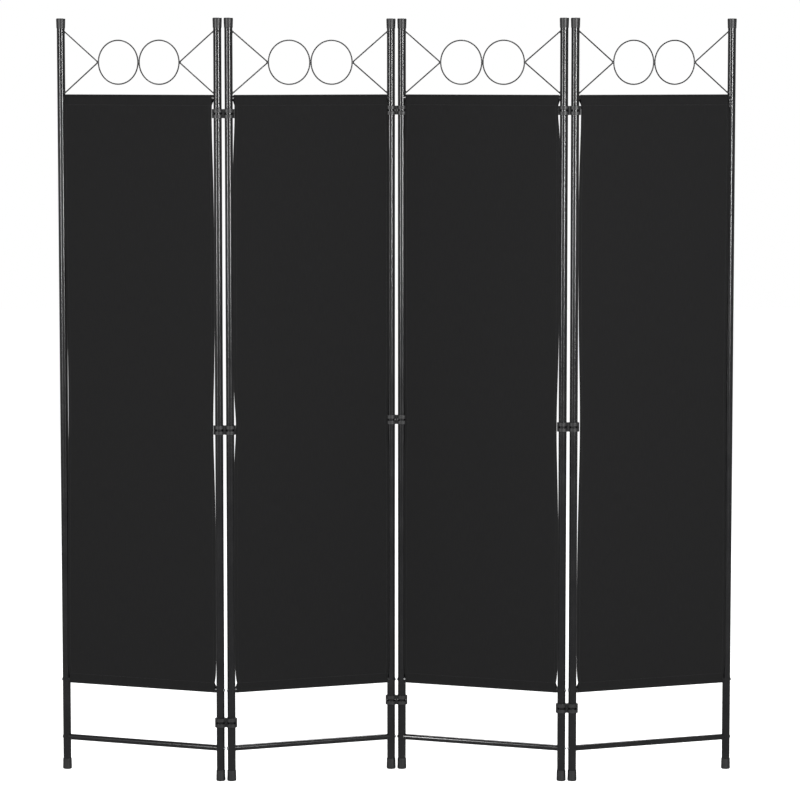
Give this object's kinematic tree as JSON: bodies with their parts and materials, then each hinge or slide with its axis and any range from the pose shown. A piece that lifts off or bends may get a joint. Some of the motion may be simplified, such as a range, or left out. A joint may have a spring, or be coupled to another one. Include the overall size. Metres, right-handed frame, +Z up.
{
  "type": "folding room divider screen",
  "caption": "Free-standing folding room divider: black cloth panels on round black steel posts, wire ring ornaments on top, plastic double-collar clips as hinges.",
  "frame": {"origin": "on the floor, at the centre of the footprint of the four panels standing in their zigzag", "axes": "+Z up along the posts, +X to the right along the row of panels, +Y to the back; the cloths are on the -Y faces of the panels"},
  "size_m": [1.5218, 0.1618, 1.7],
  "materials": {
    "gloss_black_steel": "gloss black powder coat on steel tube",
    "black_wire": "gloss black powder coat on steel wire",
    "black_cloth": "matte black woven polyester",
    "black_plastic": "satin black moulded plastic",
    "zinc_screws": "bright zinc plate"
  },
  "bodies": {
    "panel_1": {"panel_1_left_post_bottom": "gloss_black_steel", "panel_1_left_post_middle": "gloss_black_steel", "panel_1_left_post_top": "gloss_black_steel", "panel_1_right_post_bottom": "gloss_black_steel", "panel_1_right_post_middle": "gloss_black_steel", "panel_1_right_post_top": "gloss_black_steel", "panel_1_foot_rail": "gloss_black_steel", "panel_1_cloth_rods": "gloss_black_steel", "panel_1_screws": "zinc_screws", "panel_1_rings": "black_wire", "panel_1_struts": "black_wire", "panel_1_cloth": "black_cloth", "panel_1_top_caps": "black_plastic", "panel_1_foot_caps": "black_plastic"},
    "left_clips": {"left_fold_clips": "black_plastic"},
    "panel_2": {"panel_2_left_post_bottom": "gloss_black_steel", "panel_2_left_post_middle": "gloss_black_steel", "panel_2_left_post_top": "gloss_black_steel", "panel_2_right_post_bottom": "gloss_black_steel", "panel_2_right_post_middle": "gloss_black_steel", "panel_2_right_post_top": "gloss_black_steel", "panel_2_foot_rail": "gloss_black_steel", "panel_2_cloth_rods": "gloss_black_steel", "panel_2_screws": "zinc_screws", "panel_2_rings": "black_wire", "panel_2_struts": "black_wire", "panel_2_cloth": "black_cloth", "panel_2_top_caps": "black_plastic", "panel_2_foot_caps": "black_plastic"},
    "middle_clips": {"middle_fold_clips": "black_plastic"},
    "panel_3": {"panel_3_left_post_bottom": "gloss_black_steel", "panel_3_left_post_middle": "gloss_black_steel", "panel_3_left_post_top": "gloss_black_steel", "panel_3_right_post_bottom": "gloss_black_steel", "panel_3_right_post_middle": "gloss_black_steel", "panel_3_right_post_top": "gloss_black_steel", "panel_3_foot_rail": "gloss_black_steel", "panel_3_cloth_rods": "gloss_black_steel", "panel_3_screws": "zinc_screws", "panel_3_rings": "black_wire", "panel_3_struts": "black_wire", "panel_3_cloth": "black_cloth", "panel_3_top_caps": "black_plastic", "panel_3_foot_caps": "black_plastic"},
    "right_clips": {"right_fold_clips": "black_plastic"},
    "panel_4": {"panel_4_left_post_bottom": "gloss_black_steel", "panel_4_left_post_middle": "gloss_black_steel", "panel_4_left_post_top": "gloss_black_steel", "panel_4_right_post_bottom": "gloss_black_steel", "panel_4_right_post_middle": "gloss_black_steel", "panel_4_right_post_top": "gloss_black_steel", "panel_4_foot_rail": "gloss_black_steel", "panel_4_cloth_rods": "gloss_black_steel", "panel_4_screws": "zinc_screws", "panel_4_rings": "black_wire", "panel_4_struts": "black_wire", "panel_4_cloth": "black_cloth", "panel_4_top_caps": "black_plastic", "panel_4_foot_caps": "black_plastic"}
  },
  "joints": [
    {"name": "left_fold", "type": "hinge", "parent": "panel_2", "child": "left_clips", "pos_m": [-0.36888, -0.06845, 0.85], "axis": [0, 0, -1], "range_deg": [-21, 68.5]},
    {"name": "left_fold_outer", "type": "hinge", "parent": "left_clips", "child": "panel_1", "pos_m": [-0.39338, -0.06845, 0.85], "axis": [0, 0, -1], "range_deg": [-21, 68.5]},
    {"name": "middle_fold", "type": "hinge", "parent": "panel_2", "child": "middle_clips", "pos_m": [-0.01225, 0.06845, 0.85], "axis": [0, 0, -1], "range_deg": [-21, 68.5]},
    {"name": "middle_fold_outer", "type": "hinge", "parent": "middle_clips", "child": "panel_3", "pos_m": [0.01225, 0.06845, 0.85], "axis": [0, 0, -1], "range_deg": [-21, 68.5]},
    {"name": "right_fold", "type": "hinge", "parent": "panel_3", "child": "right_clips", "pos_m": [0.36888, -0.06845, 0.85], "axis": [0, 0, 1], "range_deg": [-21, 68.5]},
    {"name": "right_fold_outer", "type": "hinge", "parent": "right_clips", "child": "panel_4", "pos_m": [0.39338, -0.06845, 0.85], "axis": [0, 0, 1], "range_deg": [-21, 68.5]}
  ],
  "couplings": [
    {"joint": "left_fold_outer", "follows": "left_fold", "ratio": 1},
    {"joint": "middle_fold_outer", "follows": "middle_fold", "ratio": 1},
    {"joint": "right_fold_outer", "follows": "right_fold", "ratio": 1}
  ]
}
